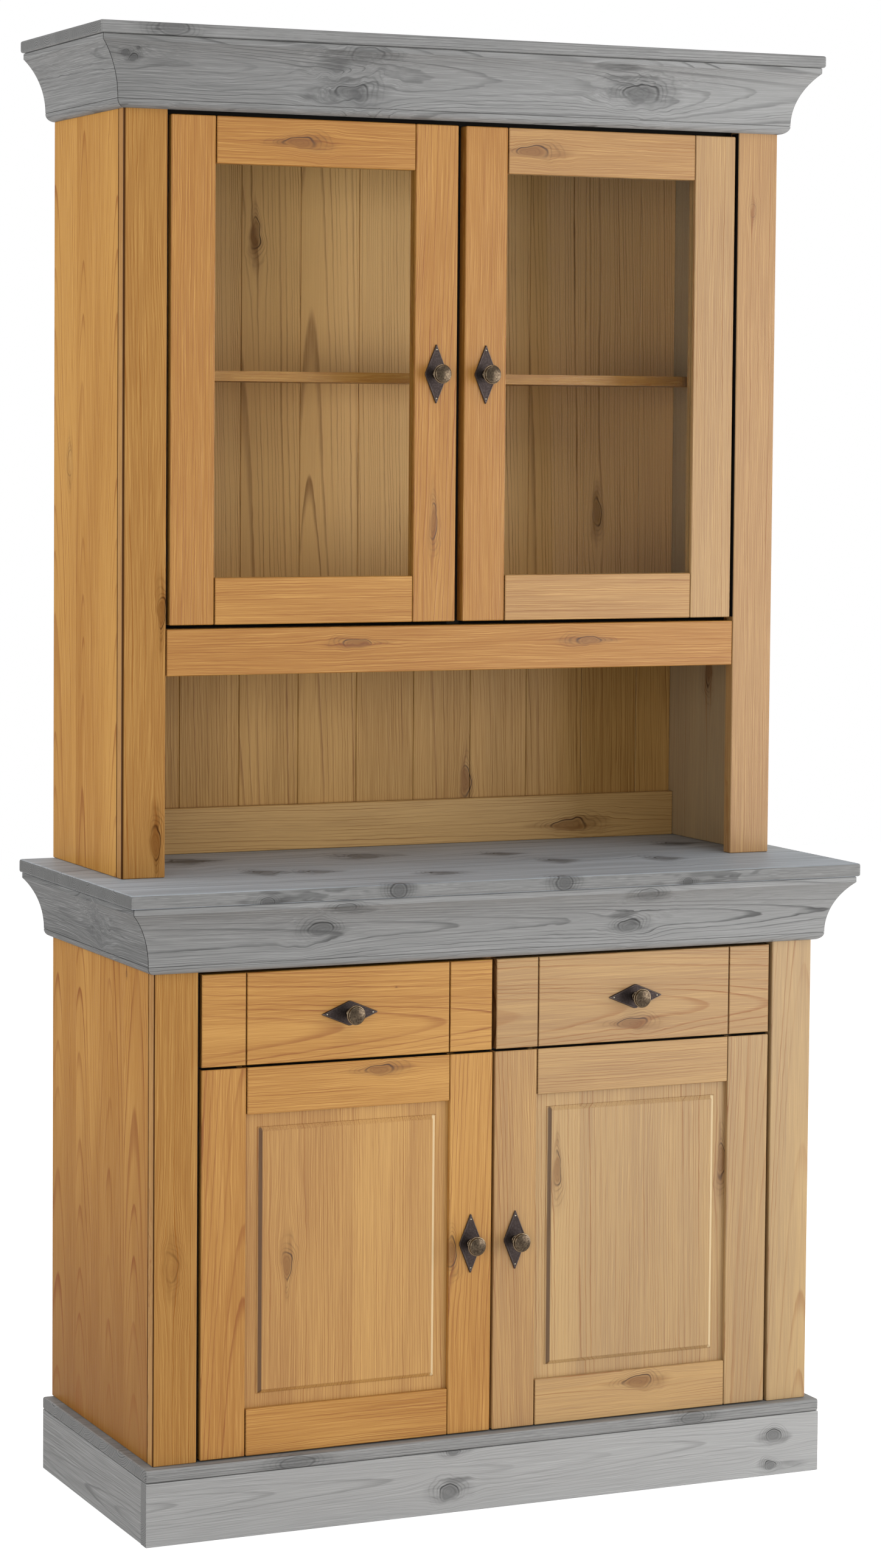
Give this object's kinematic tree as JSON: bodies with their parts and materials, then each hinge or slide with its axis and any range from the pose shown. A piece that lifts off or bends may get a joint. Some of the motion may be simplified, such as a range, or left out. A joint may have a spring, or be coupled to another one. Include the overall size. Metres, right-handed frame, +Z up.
{
  "type": "hutch sideboard",
  "caption": "Two-part pine sideboard: base with drawers over panelled doors, glazed hutch over an open niche, grey-stained cornice, worktop and plinth.",
  "frame": {"origin": "on the floor, under the middle of the footprint", "axes": "+Z up, the front faces -Y, +X is the viewer's right when facing the front"},
  "size_m": [1.1, 0.4606, 2.0225],
  "materials": {
    "waxed_pine": "honey-waxed solid pine, satin",
    "inside_pine": "plain pine, unpolished",
    "grey_stained_pine": "grey-stained pine, satin, grain and knots showing",
    "clear_glass": "clear float glass",
    "aged_brass": "aged dark brass, worn bright on the rims",
    "nickelled_steel": "nickel-plated pressed steel"
  },
  "bodies": {
    "carcass": {"plinth_frame": "grey_stained_pine", "plinth_slab": "grey_stained_pine", "base_side_left": "waxed_pine", "base_side_right": "waxed_pine", "base_pilaster_left": "waxed_pine", "base_pilaster_right": "waxed_pine", "base_back": "inside_pine", "drawer_board": "inside_pine", "drawer_divider": "inside_pine", "apron_moulding": "grey_stained_pine", "worktop": "grey_stained_pine", "hutch_side_left": "waxed_pine", "hutch_side_right": "waxed_pine", "hutch_pilaster_left": "waxed_pine", "hutch_pilaster_right": "waxed_pine", "hutch_back": "waxed_pine", "hutch_back_rail": "waxed_pine", "hutch_cross_rail": "waxed_pine", "hutch_floor": "waxed_pine", "hutch_shelf": "waxed_pine", "cornice_moulding": "grey_stained_pine", "top_board": "grey_stained_pine", "hinge_upper_left_bottom": "nickelled_steel", "hinge_upper_left_top": "nickelled_steel", "hinge_upper_right_bottom": "nickelled_steel", "hinge_upper_right_top": "nickelled_steel", "hinge_lower_left_bottom": "nickelled_steel", "hinge_lower_left_top": "nickelled_steel", "hinge_lower_right_bottom": "nickelled_steel", "hinge_lower_right_top": "nickelled_steel"},
    "upper_left_door": {"upper_door_left_hinge_stile": "waxed_pine", "upper_door_left_meeting_stile": "waxed_pine", "upper_door_left_bottom_rail": "waxed_pine", "upper_door_left_top_rail": "waxed_pine", "upper_door_left_glass": "clear_glass", "upper_door_left_knob": "aged_brass"},
    "upper_right_door": {"upper_door_right_hinge_stile": "waxed_pine", "upper_door_right_meeting_stile": "waxed_pine", "upper_door_right_bottom_rail": "waxed_pine", "upper_door_right_top_rail": "waxed_pine", "upper_door_right_glass": "clear_glass", "upper_door_right_knob": "aged_brass"},
    "lower_left_door": {"lower_door_left_hinge_stile": "waxed_pine", "lower_door_left_meeting_stile": "waxed_pine", "lower_door_left_bottom_rail": "waxed_pine", "lower_door_left_top_rail": "waxed_pine", "lower_door_left_panel": "waxed_pine", "lower_door_left_knob": "aged_brass"},
    "lower_right_door": {"lower_door_right_hinge_stile": "waxed_pine", "lower_door_right_meeting_stile": "waxed_pine", "lower_door_right_bottom_rail": "waxed_pine", "lower_door_right_top_rail": "waxed_pine", "lower_door_right_panel": "waxed_pine", "lower_door_right_knob": "aged_brass"},
    "left_drawer": {"drawer_left_front": "waxed_pine", "drawer_left_box": "inside_pine", "drawer_left_knob": "aged_brass"},
    "right_drawer": {"drawer_right_front": "waxed_pine", "drawer_right_box": "inside_pine", "drawer_right_knob": "aged_brass"}
  },
  "joints": [
    {"name": "upper_left_door_swing", "type": "hinge", "parent": "carcass", "child": "upper_left_door", "pos_m": [-0.4337, -0.05315, 1.5632], "axis": [0, 0, -1], "range_deg": [0, 110]},
    {"name": "upper_right_door_swing", "type": "hinge", "parent": "carcass", "child": "upper_right_door", "pos_m": [0.4337, -0.05315, 1.5632], "axis": [0, 0, 1], "range_deg": [0, 110]},
    {"name": "lower_left_door_swing", "type": "hinge", "parent": "carcass", "child": "lower_left_door", "pos_m": [-0.4337, -0.18075, 0.36925], "axis": [0, 0, -1], "range_deg": [0, 110]},
    {"name": "lower_right_door_swing", "type": "hinge", "parent": "carcass", "child": "lower_right_door", "pos_m": [0.4337, -0.18075, 0.36925], "axis": [0, 0, 1], "range_deg": [0, 110]},
    {"name": "left_drawer_slide", "type": "slide", "parent": "carcass", "child": "left_drawer", "axis": [0, -1, 0], "range_m": [0, 0.28]},
    {"name": "right_drawer_slide", "type": "slide", "parent": "carcass", "child": "right_drawer", "axis": [0, -1, 0], "range_m": [0, 0.28]}
  ]
}
